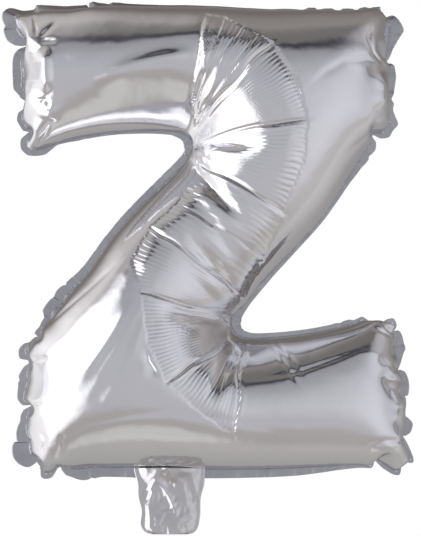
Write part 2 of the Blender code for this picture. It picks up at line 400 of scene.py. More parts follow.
@dataclass
class Filling:
    """Fills the flat cut with gas, coarse nets first.

    Args:
        cut: the flat cut.
        stages: the stages in turn.
        pinches: where the weld is drawn in.
        pinch_pull: stiffness of the pull at a pinch.
        weld_stiffness: how much stiffer the welded edge is than one film.
        time_step: length of a step of the motion.
        ramp: share of the rounds over which the pressure goes from its start to its end.
    """

    cut: FlatCut
    stages: tuple[FillStage, ...]
    pinches: tuple[Pinch, ...] = ()
    pinch_pull: float = 0.4
    weld_stiffness: float = 1.5
    time_step: float = 0.35
    ramp: float = 0.6

    def run(self) -> tuple[FilmNet, Array]:
        """Fill the letter.

        Returns:
            The finest net and its filled points, in millimetres.
        """
        net: FilmNet | None = None
        shape = np.zeros((0, 3))
        for stage in self.stages:
            finer = FilmNet.from_cut(self.cut, stage.step)
            shape = finer.spread() if net is None else finer.carry(net, shape)
            net = finer
            shape = self._fill(net, shape, stage)
            LOG.info("filled at %.1f mm: %d points, depth %.1f mm", stage.step, len(shape),
                     float(np.ptp(shape[:, 1])))
        assert net is not None
        return net, shape

    def _anchors(self, net: FilmNet) -> tuple[Array, Array]:
        """Seam points that a pinch holds, and where it holds them."""
        seam = net.flat[:net.seam_count]
        held, where = [], []
        for pinch in self.pinches:
            a, b = self.cut.edge(pinch.after)
            flat = a * (1 - pinch.share) + b * pinch.share
            held.append(int(np.linalg.norm(seam - flat, axis=1).argmin()))
            where.append((pinch.x, 0.0, pinch.z))
        return np.array(held, int), np.array(where).reshape(-1, 3)

    def _fill(self, net: FilmNet, shape: Array, stage: FillStage) -> Array:
        """Let one net find its filled shape by damped motion."""
        edges, pairs = net.springs()
        ij = np.vstack([edges, pairs])
        length = np.linalg.norm(net.flat[ij[:, 0]] - net.flat[ij[:, 1]], axis=1)
        first = net.seam_count + 2 * net.film_count
        welded = (ij >= first).any(1) | (ij < net.seam_count).all(1)
        stiff = np.where(welded, self.weld_stiffness, 1.0)
        stiff[len(edges):] = stage.bending
        slack = np.where(welded, 1.0, stage.gather)
        slack[len(edges):] = 1.0
        order = np.argsort(ij[:, 0], kind="stable")
        i, j = ij[order, 0].copy(), ij[order, 1].copy()
        length, stiff, slack = length[order], stiff[order], slack[order]
        skin = np.vstack([net.front, net.back])
        a, b, c = (skin[:, k].copy() for k in range(3))
        held, where = self._anchors(net)
        size = len(shape)
        pos = [shape[:, k].copy() for k in range(3)]
        vel = [np.zeros(size) for _ in range(3)]
        count = np.bincount
        for turn in range(stage.rounds):
            share = min(1.0, turn / (self.ramp * stage.rounds))
            pressure = stage.start_pressure * (stage.end_pressure / stage.start_pressure) ** share
            d = [p[j] - p[i] for p in pos]
            strain = 1 - length / (np.sqrt(d[0] ** 2 + d[1] ** 2 + d[2] ** 2) + 1e-9)
            stretch = stiff * np.where(strain < 0, strain * slack, strain)
            force = []
            for part in d:
                part *= stretch
                force.append(count(i, part, size) - count(j, part, size))
            u = [p[b] - p[a] for p in pos]
            w = [p[c] - p[a] for p in pos]
            push = pressure / 6
            for k in range(3):
                k1, k2 = (k + 1) % 3, (k + 2) % 3
                face = (u[k1] * w[k2] - u[k2] * w[k1]) * push
                force[k] += count(a, face, size) + count(b, face, size) + count(c, face, size)
            for k in range(3):
                if len(held):
                    pull = self.pinch_pull * (where[:, k] - pos[k][held])
                    force[k] += count(held, pull, size)
                vel[k] = vel[k] * stage.damping + force[k] * self.time_step
                pos[k] += vel[k] * self.time_step
        return np.stack(pos, 1)


# Finer surface


def in_four(corner: Array, middle: Array) -> Array:
    """Four triangles for each one.

    Args:
        corner: three rows, the corners of the triangles.
        middle: three rows, the points in the middle of their sides.
    Returns:
        Triangle rows.
    """
    (a, b, c), (ab, bc, ca) = corner, middle
    return np.vstack([columns(a, ab, ca), columns(b, bc, ab), columns(c, ca, bc),
                      columns(ab, bc, ca)])


def loop_refine(points: Array, tris: Array) -> tuple[Array, Array]:
    """One round of Loop subdivision with smooth borders.

    Args:
        points: point rows.
        tris: triangle rows.
    Returns:
        New points and triangles, four for each old one.
    """
    size = len(points)
    sides, facing = sides_of(tris)
    edges, back = np.unique(sides, axis=0, return_inverse=True)
    back = back.ravel()
    border = np.bincount(back, minlength=len(edges)) == 1
    opposite = columns(*(np.bincount(back, part[facing], len(edges)) for part in points.T))
    ends = points[edges[:, 0]] + points[edges[:, 1]]
    middle = np.where(border[:, None], ends / 2, ends * 3 / 8 + opposite / 8)
    valence = np.bincount(edges.ravel(), minlength=size)
    safe = np.maximum(valence, 3)
    beta = (5 / 8 - (3 / 8 + np.cos(2 * math.pi / safe) / 4) ** 2) / safe
    moved = points * (1 - valence * beta)[:, None] + neighbour_sums(edges, points) * beta[:, None]
    rim = edges[border]
    on_rim = np.unique(rim)
    moved[on_rim] = points[on_rim] * 3 / 4 + neighbour_sums(rim, points)[on_rim] / 8
    return np.vstack([moved, middle]), in_four(tris.T, back.reshape(3, -1) + size)


def split_zone(points: Array, tris: Array, zone: Array) -> tuple[Array, Array]:
    """Split the triangles of a zone in four, and close the gaps to their neighbours.

    Args:
        points: point rows.
        tris: triangle rows.
        zone: true for each triangle to split.
    Returns:
        New points and triangles.
    """
    size = len(points)
    edges, back = np.unique(sides_of(tris)[0], axis=0, return_inverse=True)
    back = back.reshape(3, -1)
    cut = np.zeros(len(edges), bool)
    cut[back[:, zone].ravel()] = True
    shared = np.bincount(back.ravel(), minlength=len(edges))[:, None] == 2
    valence = np.maximum(np.bincount(edges.ravel(), minlength=size), 1)[:, None]
    bulge = points - neighbour_sums(edges, points) / valence
    one, two = edges.T
    ends = (points[one] + points[two]) / 2
    middle = np.where(shared, ends + (bulge[one] + bulge[two]) / 4, ends)[cut]
    number = np.full(len(edges), -1)
    number[cut] = size + np.arange(len(middle))
    mid = number[back]
    count = (mid >= 0).sum(0)
    out = [tris[count == 0], in_four(tris.T[:, count == 3], mid[:, count == 3])]
    for turn in range(3):
        a, b, c = np.roll(tris.T, -turn, 0)
        ab, bc, _ = np.roll(mid, -turn, 0)
        k = (count == 1) & (ab >= 0)
        out += [columns(a[k], ab[k], c[k]), columns(ab[k], b[k], c[k])]
        k = (count == 2) & (ab >= 0) & (bc >= 0)
        out += [columns(ab[k], b[k], bc[k]), columns(a[k], ab[k], bc[k]),
                columns(a[k], bc[k], c[k])]
    return np.vstack([points, middle]), np.vstack(out)


def settle(points: Array, faces: Array, rounds: int = 3) -> Array:
    """Even out single points that stick out of the film, and leave its rim where it is.

    Args:
        points: the film's points.
        faces: its triangles.
        rounds: how often to shrink and grow.
    Returns:
        The evened points.
    """
    shrink, grow = 0.50, -0.52
    edges, times = np.unique(sides_of(faces)[0], axis=0, return_counts=True)
    inner = np.ones((len(points), 1))
    inner[edges[times == 1].ravel()] = 0.0
    count = np.bincount(edges.ravel(), minlength=len(points))[:, None]
    for _ in range(rounds):
        for share in (shrink, grow):
            points = points + share * inner * (neighbour_sums(edges, points) / count - points)
    return points


def point_normals(points: Array, tris: Array) -> Array:
    """Area-weighted normals at the points."""
    p = points[tris]
    face = np.cross(p[:, 1] - p[:, 0], p[:, 2] - p[:, 0])
    out = np.zeros_like(points)
    for k in range(3):
        for axis in range(3):
            out[:, axis] += np.bincount(tris[:, k], face[:, axis], len(points))
    return unit(out)


def compact(points: Array, tris: Array) -> tuple[Array, Array]:
    """Points and triangles without the unused points."""
    used, back = np.unique(tris, return_inverse=True)
    return points[used], back.reshape(tris.shape)


def place_object(name: str, data: bpy.types.ID) -> bpy.types.Object:
    """New object with the given data, linked to the scene."""
    ob = bpy.data.objects.new(name, data)
    bpy.context.scene.collection.objects.link(ob)
    return ob


def make_mesh(name: str, points: Array, faces: Array) -> bpy.types.Object:
    """Smooth-shaded mesh object from arrays.

    Args:
        name: the piece's name.
        points: points in metres.
        faces: triangles or quads.
    Returns:
        The object, linked to the scene.
    """
    mesh = bpy.data.meshes.new(name)
    mesh.from_pydata(points.tolist(), [], faces.tolist())
    mesh.update()
    mesh.shade_smooth()
    return place_object(name, mesh)


# Pleats and crinkles


@dataclass(frozen=True)
class Noise:
    """Smooth even noise from a few crossed waves.

    Args:
        height: it runs between about minus this and this.
        size: length of a typical wave.
        seed: shifts the pattern.
    """

    height: float
    size: float
    seed: float = 0.0

    def at(self, x: Array, z: Array | float = 0.0, shift: float = 0.0) -> Array:
        """Noise at the given places.

        Args:
            x: first coordinate.
            z: second coordinate.
            shift: added to the seed.
        Returns:
            One value a place.
        """
        waves, golden_angle, usual_sum = 6, 2.399, 3.2
        seed = self.seed + shift
        out = np.zeros_like(x)
        for k in range(waves):
            angle = golden_angle * k + 0.7 * seed
            wave = 2 * math.pi / (self.size * (0.75 + 0.13 * k))
            u = x * math.cos(angle) + z * math.sin(angle)
            v = -x * math.sin(angle) + z * math.cos(angle)
            out += np.sin(u * wave + 1.7 * np.sin(v * wave * 0.61 + seed + k) + 2.1 * k + seed)
        return self.height * out / usual_sum


@dataclass(frozen=True)
class Rib:
    """Line across the slack band, from its inner or left side to its outer or right side.

    depth is that of the crease along it, pleats the number of fine pleats up to the next rib.
    """

    x0: float
    z0: float
    x1: float
    z1: float
    depth: float
    pleats: int


BAND_RIBS: tuple[Rib, ...] = (
    Rib(-12.4, 95.3, -2.2, 163.4, 1.00, 9),
    Rib(-11.0, 92.4, 11.7, 159.7, 0.45, 4),
    Rib(-10.2, 88.9, 24.1, 152.6, 0.35, 5),
    Rib(-9.5, 85.9, 36.4, 145.9, 0.45, 4),
    Rib(-8.8, 82.8, 46.4, 139.1, 1.10, 9),
    Rib(-5.1, 77.3, 64.2, 113.3, 0.00, 10),
    Rib(-5.8, 72.5, 71.9, 83.0, 1.20, 8),
    Rib(-5.8, 62.9, 69.6, 53.2, 0.00, 9),
    Rib(-5.1, 53.9, 54.6, 15.7, 1.20, 8),
    Rib(-23.2, 23.4, 41.6, -15.1, 0.40, 6),
    Rib(-41.9, 6.1, 24.5, -40.9, 1.30, 8),
    Rib(-55.1, -19.7, 22.4, -49.0, 0.00, 7),
    Rib(-47.8, -41.6, 19.6, -57.4, 1.10, 12),
    Rib(-43.3, -78.4, 14.5, -65.5, 0.00, 10),
    Rib(-29.0, -107.6, 15.9, -72.9, 1.20, 8),
    Rib(-7.0, -127.4, 20.2, -78.9, 0.35, 8),
    Rib(18.4, -144.9, 23.8, -81.9, 1.20, 0),
)


@dataclass
class SlackBand:
    """The slack band that fans round both notches and crosses the diagonal.

    The film there is too long for the bend, so it gathers into fine pleats and a few deep
    creases that run from one side of the band to the other.

    Args:
        ribs: the ribs from one end of the band to the other.
        crease_width: about half the width of a crease.
        deep: creases deeper than this part the band into puffs.
        pleat_depth: height of the fine pleats.
        step: how far the band lies under the film beside it.
        puff: height of a puff as a share of half its width.
        widest: half width past which a puff gets no higher.
        skew: leans the first puff towards its start.
        shortest: least length of a line from side to side, so that no point far off is hit.
        upper_fan: rib numbers between which the upper fan ends.
        lower_fan: rib numbers between which the lower fan starts.
        turn: rib number at which the outer side of the bend changes from right to left.
        drift: wander of the pleats.
        rag: unevenness of the band's two sides.
        patches: where the pleats are deep and where they are shallow.
        fine_drift: wander of the finest pleats.
        crease_drift: wander of the creases.
    """

    ribs: tuple[Rib, ...] = BAND_RIBS
    crease_width: float = 1.25
    deep: float = 0.9
    pleat_depth: float = 0.30
    step: float = 0.55
    puff: float = 0.060
    widest: float = 22.0
    skew: float = 0.45
    shortest: float = 30.0
    upper_fan: tuple[float, float] = (6.5, 8.5)
    lower_fan: tuple[float, float] = (11.5, 13.0)
    turn: int = 9
    drift: Noise = Noise(0.25, 30.0, 1.0)
    rag: Noise = Noise(0.010, 12.0, 2.0)
    patches: Noise = Noise(1.0, 26.0, 3.0)
    fine_drift: Noise = Noise(2.0, 9.0, 5.0)
    crease_drift: Noise = Noise(1.1, 42.0, 3.0)

    def place(self, x: Array, z: Array) -> tuple[Array, Array, Array, Array]:
        """Band coordinates of the points.

        A point lies on the straight line that joins equal shares of two ribs' ways, and that
        share is the root of a quadratic.

        Args:
            x: points' x in millimetres.
            z: points' z in millimetres.
        Returns:
            Place along its rib from 0 to 1, rib number and share, pleat number, and the
            length of the rib there. The first two are -9 outside the band.
        """
        outside, straight, largest_miss = -9.0, 1e-9, 0.5
        past_side, past_rib, past_root = 0.15, 0.001, 0.02
        along = np.full(len(x), outside)
        rank = np.full(len(x), outside)
        pleat = np.zeros(len(x))
        length = np.ones(len(x))
        pts = columns(x, z)
        done = 0
        for k, (one, two) in enumerate(zip(self.ribs, self.ribs[1:])):
            p0, q0 = np.array((one.x0, one.z0)), np.array((one.x1, one.z1))
            p1, q1 = np.array((two.x0, two.z0)), np.array((two.x1, two.z1))
            b, d, e = q0 - p0, p1 - p0, (q1 - p1) - (q0 - p0)
            h = pts - p0
            k2 = np.cross(d, e)
            k1, k0 = -np.cross(b, d) + np.cross(e, h), np.cross(b, h)
            root = np.sqrt(np.maximum(k1 ** 2 - 4 * k2 * k0, 0))
            curved = np.abs(k2) > straight
            v = np.full(len(x), outside)
            for sign in (1, -1):
                found = np.where(curved, (-k1 + sign * root) / np.where(curved, 2 * k2, 1), -k0 / k1)
                v = np.where((found > -past_root) & (found < 1 + past_root), found, v)
            across = b + e * v[:, None]
            size = np.linalg.norm(across, axis=1)
            u = ((h - d * v[:, None]) * across).sum(1) / size ** 2
            miss = np.linalg.norm(h - d * v[:, None] - across * u[:, None], axis=1)
            hit = ((v > -past_rib) & (v <= 1 + past_rib) & (u > -past_side) & (u < 1 + past_side)
                   & (miss < largest_miss) & (size > self.shortest))
            along[hit] = u[hit]
            rank[hit] = k + np.clip(v[hit], 0, 1)
            pleat[hit] = done + v[hit] * one.pleats
            length[hit] = size[hit]
            done += one.pleats
        return along, rank, pleat, length

    def zone(self, x: Array, z: Array) -> Array:
        """True near the band."""
        return self.place(x, z)[1] >= 0

    def height(self, x: Array, z: Array) -> Array:
        """How far the band's pleats lift the film.

        Args:
            x: points' x in millimetres.
            z: points' z in millimetres.
        Returns:
            Lift in millimetres, negative in a crease.
        """
        step_slope, puff_slope, end_slope = (-0.3, 1.6), (0.0, 14.0), (0.0, 0.25)
        scallop, usual_cusp, finest = 0.012, 0.62, 0.05
        tip_share, diagonal_share, low_step = 0.8, 0.45, 0.6
        along, rank, pleat, length = self.place(x, z)
        within = rank >= 0
        pleat = pleat + self.drift.at(x, z)
        cusp = np.abs(np.sin(math.pi * pleat))
        side = 1.0 + scallop * cusp + self.rag.at(x, z)
        far, near = (side - along) * length, (along - (1 - side)) * length
        body = smooth(*step_slope, far) * smooth(*step_slope, near) * within
        ends = smooth(*end_slope, rank) * smooth(*end_slope, len(self.ribs) - 1 - rank)
        fan = np.maximum(1 - smooth(*self.upper_fan, rank), smooth(*self.lower_fan, rank))
        # The pleats show on the outer side of each fan and at its tip, and less in between
        upper = rank < self.turn
        outer = np.where(upper, smooth(0.30, 0.62, along), smooth(0.75, 0.40, along))
        inner = np.where(upper, smooth(0.30, 0.04, along), smooth(0.72, 0.97, along))
        shown = fan * (outer + tip_share * inner) + (1 - fan) * diagonal_share
        patchy = 0.65 + 0.35 * smooth(-0.6, 0.6, self.patches.at(x, z))
        fine = (cusp - usual_cusp) * self.pleat_depth * shown * patchy
        fine += finest * np.sin(4 * math.pi * pleat + self.fine_drift.at(x, z)) * shown
        lift = (fine - self.step * (low_step + (1 - low_step) * fan)) * body * ends
        edge = smooth(*puff_slope, far) * smooth(*puff_slope, near) * within
        wide = self.puff * np.minimum(length * 0.5, self.widest)
        marks = [k for k, rib in enumerate(self.ribs) if rib.depth > self.deep]
        for a, b in zip(marks, marks[1:]):
            t = np.clip((rank - a) / (b - a), 0, 1)
            lift += wide * np.sin(math.pi * t ** (self.skew if a == 0 else 1.0)) * edge
        return lift + self._creases(columns(x, z))

    def _creases(self, pts: Array) -> Array:
        """Grooves along the ribs, each with a lip on one side."""
        lip_height, lip_off, lip_width, sharpness = 0.38, 2.6, 1.3, 1.25
        before, fully_in, past, fully_out = -3.0, 8.0, 7.0, -10.0
        out = np.zeros(len(pts))
        for k, rib in enumerate(self.ribs):
            if not rib.depth:
                continue
            a, b = np.array((rib.x0, rib.z0)), np.array((rib.x1, rib.z1))
            size = np.linalg.norm(b - a)
            way = (b - a) / size
            rel = pts - a
            t = rel @ way
            off = rel[:, 0] * way[1] - rel[:, 1] * way[0] + self.crease_drift.at(t, t * 0.2, k)
            reach = smooth(before, fully_in, t) * smooth(size + past, size + fully_out, t)
            width = self.crease_width * (0.7 + 0.5 * np.clip(t / size, 0, 1))
            groove = np.exp(-np.abs(off / width) ** sharpness)
            lip = lip_height * np.exp(-((off - lip_off * width) / (lip_width * width)) ** 2)
            out += (lip - groove) * rib.depth * reach
        return out


@dataclass(frozen=True)
class Fold:
    """Fold on the film: its line in millimetres, height, half width and lean.

    lean widens the side that lies to the left of the line's way.
    """

    line: tuple[tuple[float, float], ...]
    height: float
    width: float
    lean: float = 1.0

    def lift(self, x: Array, z: Array) -> Array:
        """Lift of the film at the points, in millimetres, tapered at both ends."""
        start, end, sharpness = (-0.08, 0.35), (1.08, 0.70), 1.6
        knots = np.array(self.line, float)
        gap, run, left = nearest_on_line(knots, columns(x, z))
        length = lengths_along(knots)
        place = np.interp(run, np.arange(len(knots)), length) / length[-1]
        taper = smooth(*start, place) * smooth(*end, place)
        width = np.where(left, self.width * self.lean, self.width)
        return self.height * taper * np.exp(-((gap / width) ** sharpness))


FRONT_FOLDS: tuple[Fold, ...] = (
    Fold(((-119, 139), (-117, 130), (-116, 113), (-119, 105)), 4.4, 9, 0.55),
    Fold(((-115, 98), (-114, 92), (-116, 86)), 3, 7.5, 0.55),
    Fold(((-122, 143), (-114, 136), (-111, 125), (-111, 115), (-115, 106), (-122, 99)), -0.8, 1.7),
    Fold(((-124, 145), (-111, 159)), -1, 1.7),
    Fold(((-124, 144), (-110, 143)), -0.9, 1.6),
    Fold(((-125, 147), (-129, 167)), -1.1, 1.6),
    Fold(((-128, 102), (-117, 100), (-114, 91)), -0.9, 1.5),
    Fold(((-127, 69), (-119, 77), (-114, 85)), -0.9, 1.6),
    Fold(((-84, 112), (-71, 118), (-56, 123), (-35, 128), (-8, 132)), 3.1, 12, 0.36),
    Fold(((0, 140), (-2, 116), (-5, 89)), 2.8, 3.6, 4.2),
    Fold(((121, 157), (117, 147), (121, 135), (130, 126)), -1, 1.6),
    Fold(((129, 124), (115, 130), (99, 127), (85, 118), (72, 105)), -0.6, 1.8, 3),
    Fold(((131, 94), (123, 86), (120, 78), (99, 59)), -0.5, 2),
    Fold(((126, 123), (128, 108), (125, 93)), 3, 5, 1.3),
    Fold(((142, -147), (127, -147), (117, -151), (116, -158)), -1, 2),
    Fold(((119, -64), (136, -72)), -0.9, 1.8),
    Fold(((134, -78), (137, -100), (138, -121), (141, -139)), 3.4, 5, 1.4),
    Fold(((139, -94), (129, -84), (109, -84), (66, -94)), 0.3, 4),
    Fold(((140, -126), (132, -115), (127, -98)), -0.35, 2.4),
    Fold(((45, -76), (54, -90), (66, -110)), -0.7, 1.2),
    Fold(((49, -74), (59, -87), (69, -101)), -0.6, 1.2),
    Fold(((28, -74), (27, -98)), -0.6, 1.4),
    Fold(((-44, -83), (-42, -92), (-35, -103)), -1.5, 3.2, 0.45),
    Fold(((48, 132), (58, 118), (65, 102), (69, 86)), -0.9, 1.5),
    Fold(((28, -104), (66, -98), (116, -80)), -0.45, 1.5),
    Fold(((-50, -45), (-70, -76), (-96, -113)), 0.8, 4),
    Fold(((-48, -51), (-65, -85), (-86, -117)), 0.7, 3.6),
    Fold(((-45, -61), (-57, -95), (-76, -125)), 0.6, 3.6),
    Fold(((-42, -83), (-48, -105), (-68, -126)), 0.4, 4),
    Fold(((-118, -159), (-104, -144), (-83, -135), (-56, -130), (-27, -127), (19, -134),
          (65, -145)), -0.4, 2, 2),
    Fold(((-109, -162), (-105, -153), (-105, -143)), -0.8, 1.6),
    Fold(((-120, -158), (-117, -146), (-122, -139)), -0.6, 1.6),
    Fold(((-129, -120), (-109, -119)), -0.7, 1.3),
    Fold(((-131, -90), (-115, -88)), -0.7, 1.3),
    Fold(((-120, -67), (-85, -38), (-58, -14)), -0.5, 1.6),
)


@dataclass(frozen=True)
class Swell:
    """Soft rise of both films: its place, its reach each way and height in millimetres."""

    x: float
    z: float
    reach_x: float
    reach_z: float
    height: float

    def lift(self, x: Array, z: Array) -> Array:
        """Lift of the film at the points, in millimetres."""
        far = np.hypot((x - self.x) / self.reach_x, (z - self.z) / self.reach_z)
        return self.height * np.exp(-(far ** 2))


SWELLS: tuple[Swell, ...] = (
    Swell(0.0, 64.0, 16.0, 16.0, 6.0), Swell(8.0, 48.0, 18.0, 18.0, 3.0),
    Swell(15.0, -42.0, 19.0, 19.0, 4.5), Swell(-66.0, 124.0, 46.0, 20.0, 4.2),
)


@dataclass
class FilmRelief:
    """Everything that the filled film shows on top of its smooth bulge.

    Args:
        cut: the flat cut.
        band: the slack band.
        folds: single folds, on the front only.
        swells: soft rises of both films.
        gathered: corners after which a gathered short end of a bar follows.
        back_seed: shifts the noise of the back, so that it differs from the front.
        dents: broad and fine unevenness of the free film.
        crimp_length: length of one crimp along the seam.
        crimp_drift: wander of the crimps.
        crimp_reach: how the crimps' reach into the film differs.
        crimp_patches: where the crimps are deep and where they are shallow.
    """

    cut: FlatCut
    band: SlackBand = field(default_factory=SlackBand)
    folds: tuple[Fold, ...] = FRONT_FOLDS
    swells: tuple[Swell, ...] = SWELLS
    gathered: tuple[str, ...] = ("bar_left", "top_right", "bar_right", "bottom_left")
    back_seed: float = 2.0
    dents: tuple[Noise, ...] = (Noise(0.07, 34.0, 4.0), Noise(0.02, 12.0, 6.0))
    crimp_length: float = 3.4
    crimp_drift: Noise = Noise(0.5, 23.0)
    crimp_reach: Noise = Noise(3.0, 60.0, 8.0)
    crimp_patches: Noise = Noise(1.0, 41.0, 7.0)

    def end_share(self, flat: Array) -> Array:
        """One at the gathered short ends of the bars, none along their sides."""
        none_from, full_to = 30.0, 16.0
        gaps = [nearest_on_line(np.array(self.cut.edge(name)), flat)[0] for name in self.gathered]
        return smooth(none_from, full_to, np.minimum.reduce(gaps))

    def fine_zone(self, points: Array, flat: Array) -> Array:
        """True where the film needs a finer mesh."""
        return self.band.zone(points[:, 0], points[:, 2]) | (self.end_share(flat) > 0.2)

    def height(self, points: Array, flat: Array, side: Side) -> Array:
        """Lift of the film along its normal.

        Args:
            points: filled points in millimetres.
            flat: their flat x and z.
            side: which film.
        Returns:
            Lift in millimetres.
        """
        seam_step, held, band_free, film_free = 2.0, 0.5, 5.0, 6.0
        x, z = points[:, 0], points[:, 2]
        gap, run, _ = nearest_on_line(closed(self.cut.outline(seam_step)), flat)
        seed = self.back_seed if side is Side.BACK else 0.0
        lift = self.band.height(x, z) * smooth(held, band_free, gap)
        lift += self._crimps(gap, seam_step * run, self.end_share(flat), seed)
        free = sum(dent.at(x, z, seed) for dent in self.dents)
        raised = self.swells + (self.folds if side is Side.FRONT else ())
        free += sum(one.lift(x, z) for one in raised)
        return lift + free * smooth(held, film_free, gap)

    def _crimps(self, gap: Array, place: Array, ends: Array, seed: float) -> Array:
        """Short crimps that run in from the seam.

        Args:
            gap: distance to the seam.
            place: place along the seam.
            ends: one at the gathered ends.
            seed: shifts the pattern.
        Returns:
            Lift in millimetres.
        """
        usual_reach, end_reach, side_depth, end_depth, usual_cusp = 7.0, 3.0, 0.10, 0.22, 0.6
        reach = usual_reach + self.crimp_reach.at(place, place * 0.3, seed) + end_reach * ends
        beat = place / self.crimp_length + self.crimp_drift.at(place, shift=seed)
        crimp = np.abs(np.sin(math.pi * beat)) - usual_cusp
        shown = 0.25 + 0.75 * smooth(-0.5, 0.5, self.crimp_patches.at(place, shift=seed))
        depth = side_depth + end_depth * ends
        return depth * crimp * shown * smooth(0, 1.5, gap) * np.exp(-(gap / reach) ** 2)


# Materials


class NodeBench:
    """Small helper that adds and joins shader nodes in one tree."""

    def __init__(self, tree: bpy.types.NodeTree) -> None:
        """Work on the given tree."""
        self.tree = tree

    def add(self, kind: str, **settings: object) -> bpy.types.Node:
        """Add a node and set its attributes."""
        node = self.tree.nodes.new(kind)
        for key, value in settings.items():
            setattr(node, key, value)
        return node

    def put(self, node: bpy.types.Node, **values: object) -> bpy.types.Node:
        """Set input values by name, with underscores for spaces."""
        for key, value in values.items():
            node.inputs[key.replace("_", " ")].default_value = value
        return node

    def join(self, source: bpy.types.NodeSocket, target: bpy.types.NodeSocket) -> None:
        """Link one socket to another."""
        self.tree.links.new(source, target)

    def math(self, operation: str, a: object, b: object = 0.0) -> bpy.types.NodeSocket:
        """Math node on sockets or numbers, giving its output."""
        node = self.add("ShaderNodeMath", operation=operation)
        for slot, value in zip(node.inputs, (a, b)):
            if isinstance(value, bpy.types.NodeSocket):
                self.join(value, slot)
            else:
                slot.default_value = float(value)
        return node.outputs[0]


def new_group(name: str, inputs: dict[str, float], outputs: tuple[str, ...]
              ) -> tuple[bpy.types.NodeTree, NodeBench, bpy.types.Node, bpy.types.Node]:
    """Node group with number inputs and outputs.

    Args:
        name: the group's name.
        inputs: input names and default values.
        outputs: output names.
    Returns:
        The group, a bench on it, its input node and its output node.
    """
    tree = bpy.data.node_groups.new(name, "ShaderNodeTree")
    for key, value in inputs.items():
        socket = tree.interface.new_socket(name=key, in_out="INPUT", socket_type="NodeSocketFloat")
        socket.default_value = value
    for key in outputs:
        tree.interface.new_socket(name=key, in_out="OUTPUT", socket_type="NodeSocketFloat")
    bench = NodeBench(tree)
    return tree, bench, bench.add("NodeGroupInput"), bench.add("NodeGroupOutput")


def crinkle_group() -> bpy.types.NodeTree:
    """Fine crinkles of metallised film, as a height."""
    tree, bench, given, out = new_group(
        "Film crinkle", {"Facet size": 70.0, "Facet depth": 0.5, "Ripple size": 260.0,
                         "Ripple depth": 0.25}, ("Height", "Tone"))
    warp_size, warp_reach, widest_ridge, tone_size = 38.0, 0.016, 0.18, 14.0
    where = bench.add("ShaderNodeTexCoord").outputs["Object"]
    warp = bench.put(bench.add("ShaderNodeTexNoise"), Scale=warp_size, Detail=2.0)
    bench.join(where, warp.inputs["Vector"])
    mix = bench.add("ShaderNodeVectorMath", operation="MULTIPLY_ADD")
    mix.inputs[1].default_value = (warp_reach,) * 3
    bench.join(warp.outputs["Color"], mix.inputs[0])
    bench.join(where, mix.inputs[2])
    facet = bench.add("ShaderNodeTexVoronoi", feature="DISTANCE_TO_EDGE")
    bench.join(mix.outputs[0], facet.inputs["Vector"])
    bench.join(given.outputs["Facet size"], facet.inputs["Scale"])
    ridge = bench.math("MINIMUM", facet.outputs["Distance"], widest_ridge)
    ripple = bench.put(bench.add("ShaderNodeTexNoise"), Detail=3.0, Roughness=0.55)
    bench.join(where, ripple.inputs["Vector"])
    bench.join(given.outputs["Ripple size"], ripple.inputs["Scale"])
    total = bench.math("ADD", bench.math("MULTIPLY", ridge, given.outputs["Facet depth"]),
                       bench.math("MULTIPLY", ripple.outputs[0], given.outputs["Ripple depth"]))
    bench.join(total, out.inputs["Height"])
    broad = bench.put(bench.add("ShaderNodeTexNoise"), Scale=tone_size, Detail=4.0, Roughness=0.6)
    bench.join(where, broad.inputs["Vector"])
    bench.join(broad.outputs[0], out.inputs["Tone"])
    return tree


def crinkled_film(name: str, crinkle: bpy.types.NodeTree, tones: tuple[float, float],
                  rough: tuple[float, float], bump: tuple[float, float]
                  ) -> tuple[bpy.types.Material, NodeBench, bpy.types.Node, bpy.types.Node]:
    """Material whose gloss and bump follow the crinkles.

    Args:
        name: the material's name.
        crinkle: the crinkle node group.
        tones: tones of the crinkles between which the roughness runs.
        rough: the roughness at those tones.
        bump: strength and distance of the bump.
    Returns:
        The material, a bench on its nodes, its shader and its crinkle node.
    """
    mat = bpy.data.materials.new(name)
    mat.use_nodes = True
    bench = NodeBench(mat.node_tree)
    shader = mat.node_tree.nodes["Principled BSDF"]
    group = bench.add("ShaderNodeGroup", node_tree=crinkle)
    gloss = bench.put(bench.add("ShaderNodeMapRange"), From_Min=tones[0], From_Max=tones[1],
                      To_Min=rough[0], To_Max=rough[1])
    bench.join(group.outputs["Tone"], gloss.inputs["Value"])
    bench.join(gloss.outputs["Result"], shader.inputs["Roughness"])
    relief = bench.put(bench.add("ShaderNodeBump"), Strength=bump[0], Distance=bump[1])
    bench.join(group.outputs["Height"], relief.inputs["Height"])
    bench.join(relief.outputs["Normal"], shader.inputs["Normal"])
    return mat, bench, shader, group


@dataclass(frozen=True)
class FoilFinish:
    """Metallised film: two close tones, gloss and the size and depth of its crinkles."""

    name: str
    light: tuple[float, float, float]
    dark: tuple[float, float, float]
    rough: tuple[float, float]
    facet: float
    facet_depth: float
    ripple: float
    ripple_depth: float

    def build(self, crinkle: bpy.types.NodeTree) -> bpy.types.Material:
        """Make the material from the crinkle node group."""
        tones, bump = (0.3, 0.7), (0.25, 0.6 * MM)
        mat, bench, shader, group = crinkled_film(self.name, crinkle, tones, self.rough, bump)
        bench.put(shader, Metallic=1.0)
        bench.put(group, Facet_size=self.facet, Facet_depth=self.facet_depth,
                  Ripple_size=self.ripple, Ripple_depth=self.ripple_depth)
        tone = bench.add("ShaderNodeMix", data_type="RGBA")
        tone.inputs["A"].default_value = (*self.dark, 1.0)
        tone.inputs["B"].default_value = (*self.light, 1.0)
        bench.join(group.outputs["Tone"], tone.inputs["Factor"])
        bench.join(tone.outputs["Result"], shader.inputs["Base Color"])
        return mat


